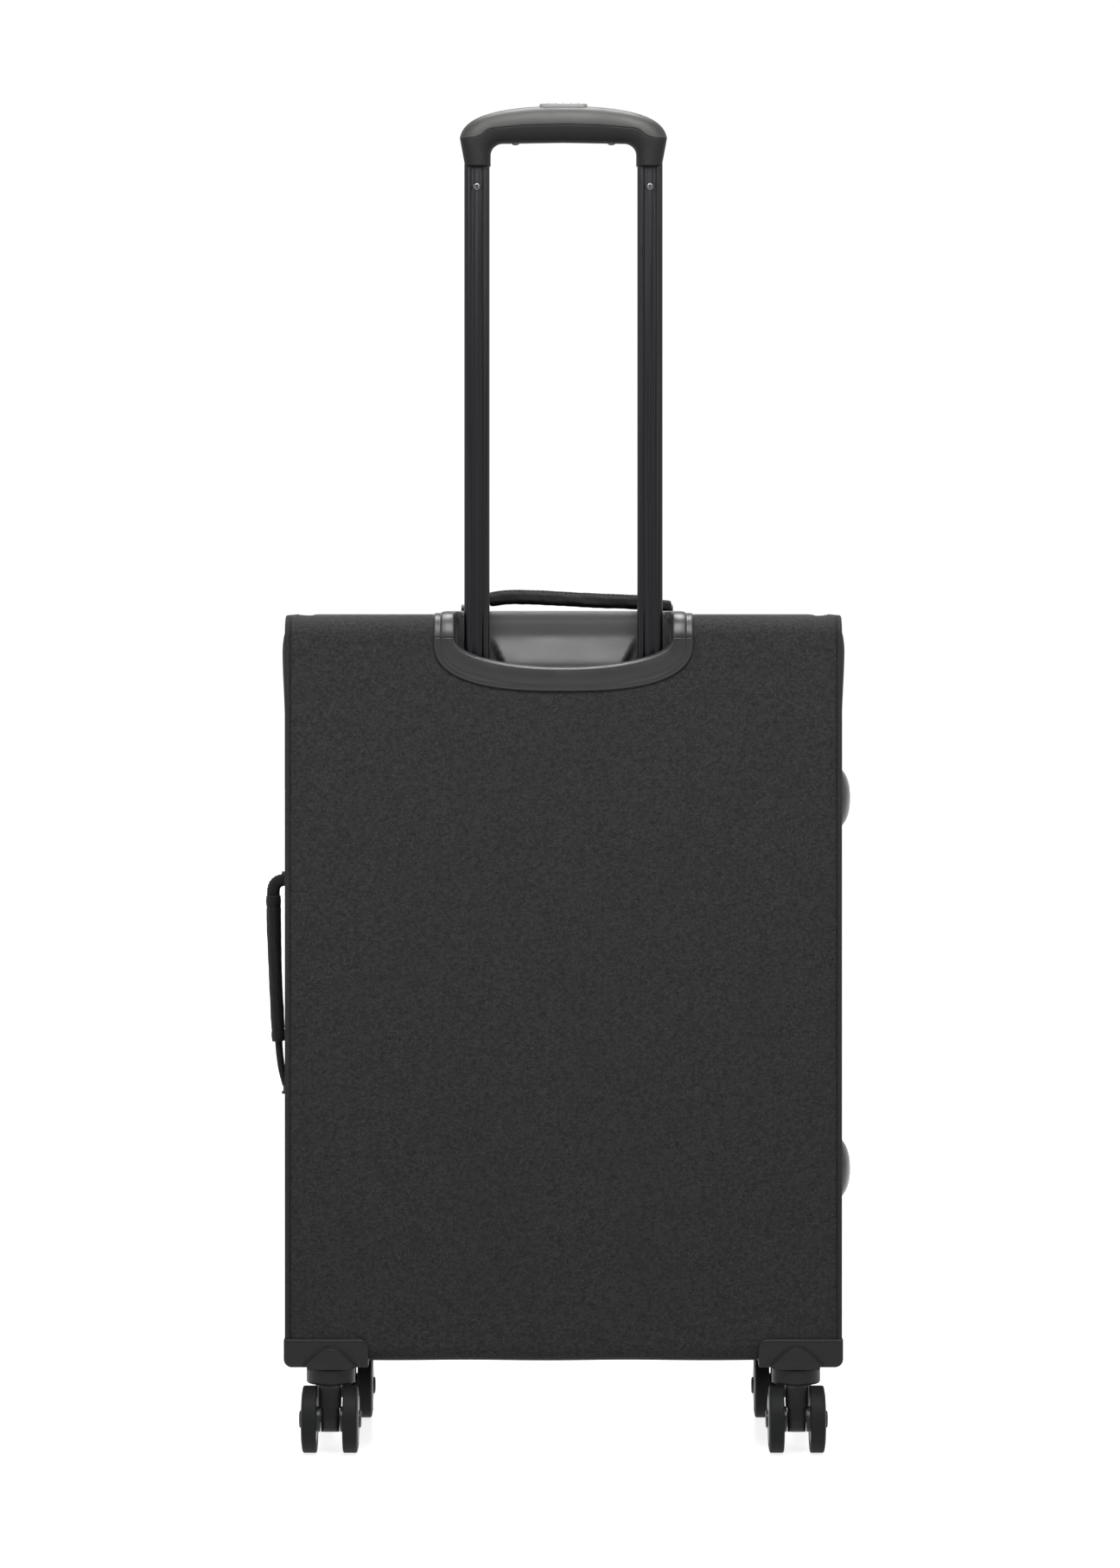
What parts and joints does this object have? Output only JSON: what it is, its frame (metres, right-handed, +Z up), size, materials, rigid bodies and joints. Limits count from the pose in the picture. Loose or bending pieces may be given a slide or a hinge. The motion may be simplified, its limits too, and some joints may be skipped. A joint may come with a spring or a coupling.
{
  "type": "softside upright suitcase",
  "caption": "Soft fabric suitcase on swivelling casters, with a telescopic trolley handle, padded carry handles, side studs, zipped lid and front pockets.",
  "frame": {"origin": "on the floor, midway between the four caster swivels", "axes": "+Z up, the back panel with the trolley handle faces -Y, the lid and pockets face +Y, the side studs face +X and the side handle -X"},
  "size_m": [0.4681, 0.2649, 1.0646],
  "materials": {
    "shell_fabric": "fine twill weave, matt",
    "trim_webbing": "ribbed webbing and piping",
    "zip_tape": "woven tape with nylon coil",
    "lining_cloth": "plain satin lining",
    "moulded_plastic": "fine moulded grain",
    "grip_plastic": "fine grain, satin",
    "tube_finish": "black satin anodised",
    "plated_steel": "zinc plated",
    "dark_steel": "black plated",
    "zip_metal": "gunmetal",
    "panel_board": "fluted board",
    "wheel_rubber": "matt polyurethane tyre"
  },
  "bodies": {
    "shell": {"back_wrap": "shell_fabric", "side_panel_left": "shell_fabric", "side_panel_right": "shell_fabric", "edge_piping": "trim_webbing", "back_board": "panel_board", "bottom_tray": "moulded_plastic", "frame_hoop": "plated_steel", "lining": "lining_cloth", "packing_straps": "trim_webbing", "main_zip_shell": "zip_tape", "hinge_strip": "shell_fabric", "bezel": "moulded_plastic", "handle_cup": "moulded_plastic", "guide_collars": "moulded_plastic", "outer_tubes": "plated_steel", "tube_bracket": "moulded_plastic", "handle_anchors": "moulded_plastic", "side_studs": "moulded_plastic", "caster_housings": "moulded_plastic", "kingpins": "plated_steel"},
    "lid": {"main_zip_lid": "zip_tape", "lid_panel": "shell_fabric", "lid_lining": "lining_cloth", "lower_pocket": "shell_fabric", "upper_pocket": "shell_fabric", "pocket_zips": "zip_tape"},
    "trolley": {"inner_tubes": "tube_finish", "grip_body": "grip_plastic", "grip_cover": "grip_plastic", "trolley_screws": "dark_steel", "return_springs": "plated_steel", "lock_blocks": "moulded_plastic"},
    "button": {"push_button": "grip_plastic", "release_rods": "plated_steel"},
    "left_lock": {"lock_pin_left": "plated_steel"},
    "right_lock": {"lock_pin_right": "plated_steel"},
    "top_handle": {"top_handle_pad": "shell_fabric", "top_handle_strap": "trim_webbing"},
    "side_handle": {"side_handle_pad": "shell_fabric", "side_handle_strap": "trim_webbing"},
    "upper_main_slider": {"main_slider_upper": "zip_metal"},
    "upper_main_puller": {"main_puller_upper": "zip_metal"},
    "lower_main_slider": {"main_slider_lower": "zip_metal"},
    "lower_main_puller": {"main_puller_lower": "zip_metal"},
    "lower_pocket_runner": {"lower_pocket_slider": "zip_metal"},
    "lower_pocket_tab": {"lower_pocket_puller": "zip_metal"},
    "upper_pocket_runner": {"upper_pocket_slider": "zip_metal"},
    "upper_pocket_tab": {"upper_pocket_puller": "zip_metal"},
    "fork_rear_left": {"fork_rear_left": "moulded_plastic"},
    "wheelset_rear_left": {"wheels_rear_left": "wheel_rubber", "axle_rear_left": "plated_steel"},
    "fork_rear_right": {"fork_rear_right": "moulded_plastic"},
    "wheelset_rear_right": {"wheels_rear_right": "wheel_rubber", "axle_rear_right": "plated_steel"},
    "fork_front_left": {"fork_front_left": "moulded_plastic"},
    "wheelset_front_left": {"wheels_front_left": "wheel_rubber", "axle_front_left": "plated_steel"},
    "fork_front_right": {"fork_front_right": "moulded_plastic"},
    "wheelset_front_right": {"wheels_front_right": "wheel_rubber", "axle_front_right": "plated_steel"}
  },
  "joints": [
    {"name": "trolley_slide", "type": "slide", "parent": "shell", "child": "trolley", "axis": [0, 0, 1], "range_m": [-0.4, 0]},
    {"name": "button_press", "type": "slide", "parent": "trolley", "child": "button", "axis": [0, 0, 1], "range_m": [-0.005, 0], "stiffness_N_per_m": 1200, "springref_m": 0.004, "deforming": ["return_springs"]},
    {"name": "left_lock_slide", "type": "slide", "parent": "trolley", "child": "left_lock", "axis": [-1, 0, 0], "range_m": [-0.0035, 0]},
    {"name": "right_lock_slide", "type": "slide", "parent": "trolley", "child": "right_lock", "axis": [1, 0, 0], "range_m": [-0.0035, 0]},
    {"name": "lid_hinge", "type": "hinge", "parent": "shell", "child": "lid", "pos_m": [0.2205, 0.1, 0.367], "axis": [0, 0, -1], "range_deg": [0, 170]},
    {"name": "top_handle_hinge", "type": "hinge", "parent": "shell", "child": "top_handle", "pos_m": [0.003, 0.016, 0.6655], "axis": [1, 0, 0], "range_deg": [-18, 18], "stiffness_Nm_per_rad": 0.1},
    {"name": "side_handle_hinge", "type": "hinge", "parent": "shell", "child": "side_handle", "pos_m": [-0.224, 0.002, 0.364], "axis": [0, 0, 1], "range_deg": [-18, 18], "stiffness_Nm_per_rad": 0.1},
    {"name": "upper_main_zip", "type": "slide", "parent": "shell", "child": "upper_main_slider", "axis": [0, 0, 1], "range_m": [-0.012, 0.085]},
    {"name": "upper_main_puller_swing", "type": "hinge", "parent": "upper_main_slider", "child": "upper_main_puller", "pos_m": [-0.2226, 0.0958, 0.54], "axis": [0, 1, 0], "range_deg": [0, 150]},
    {"name": "lower_main_zip", "type": "slide", "parent": "shell", "child": "lower_main_slider", "axis": [0, 0, 1], "range_m": [-0.33, 0.008]},
    {"name": "lower_main_puller_swing", "type": "hinge", "parent": "lower_main_slider", "child": "lower_main_puller", "pos_m": [-0.2226, 0.0958, 0.47], "axis": [0, 1, 0], "range_deg": [0, 150]},
    {"name": "lower_pocket_zip", "type": "slide", "parent": "lid", "child": "lower_pocket_runner", "axis": [1, 0, 0], "range_m": [-0.006, 0.24]},
    {"name": "lower_pocket_puller_swing", "type": "hinge", "parent": "lower_pocket_runner", "child": "lower_pocket_tab", "pos_m": [-0.138, 0.12625, 0.422], "axis": [0, 0, 1], "range_deg": [0, 150]},
    {"name": "upper_pocket_zip", "type": "slide", "parent": "lid", "child": "upper_pocket_runner", "axis": [1, 0, 0], "range_m": [-0.006, 0.24]},
    {"name": "upper_pocket_puller_swing", "type": "hinge", "parent": "upper_pocket_runner", "child": "upper_pocket_tab", "pos_m": [-0.138, 0.12625, 0.618], "axis": [0, 0, 1], "range_deg": [0, 150]},
    {"name": "swivel_rear_left", "type": "hinge", "parent": "shell", "child": "fork_rear_left", "pos_m": [-0.184, -0.078, 0.06], "axis": [0, 0, 1], "continuous": true},
    {"name": "roll_rear_left", "type": "hinge", "parent": "fork_rear_left", "child": "wheelset_rear_left", "pos_m": [-0.184, -0.09, 0.02635], "axis": [1, 0, 0], "continuous": true},
    {"name": "swivel_rear_right", "type": "hinge", "parent": "shell", "child": "fork_rear_right", "pos_m": [0.184, -0.078, 0.06], "axis": [0, 0, 1], "continuous": true},
    {"name": "roll_rear_right", "type": "hinge", "parent": "fork_rear_right", "child": "wheelset_rear_right", "pos_m": [0.184, -0.09, 0.02635], "axis": [1, 0, 0], "continuous": true},
    {"name": "swivel_front_left", "type": "hinge", "parent": "shell", "child": "fork_front_left", "pos_m": [-0.179, 0.078, 0.06], "axis": [0, 0, 1], "continuous": true},
    {"name": "roll_front_left", "type": "hinge", "parent": "fork_front_left", "child": "wheelset_front_left", "pos_m": [-0.179, 0.09, 0.02635], "axis": [1, 0, 0], "continuous": true},
    {"name": "swivel_front_right", "type": "hinge", "parent": "shell", "child": "fork_front_right", "pos_m": [0.179, 0.078, 0.06], "axis": [0, 0, 1], "continuous": true},
    {"name": "roll_front_right", "type": "hinge", "parent": "fork_front_right", "child": "wheelset_front_right", "pos_m": [0.179, 0.09, 0.02635], "axis": [1, 0, 0], "continuous": true}
  ],
  "couplings": [
    {"joint": "left_lock_slide", "follows": "button_press", "ratio": 0.7},
    {"joint": "right_lock_slide", "follows": "button_press", "ratio": 0.7}
  ]
}
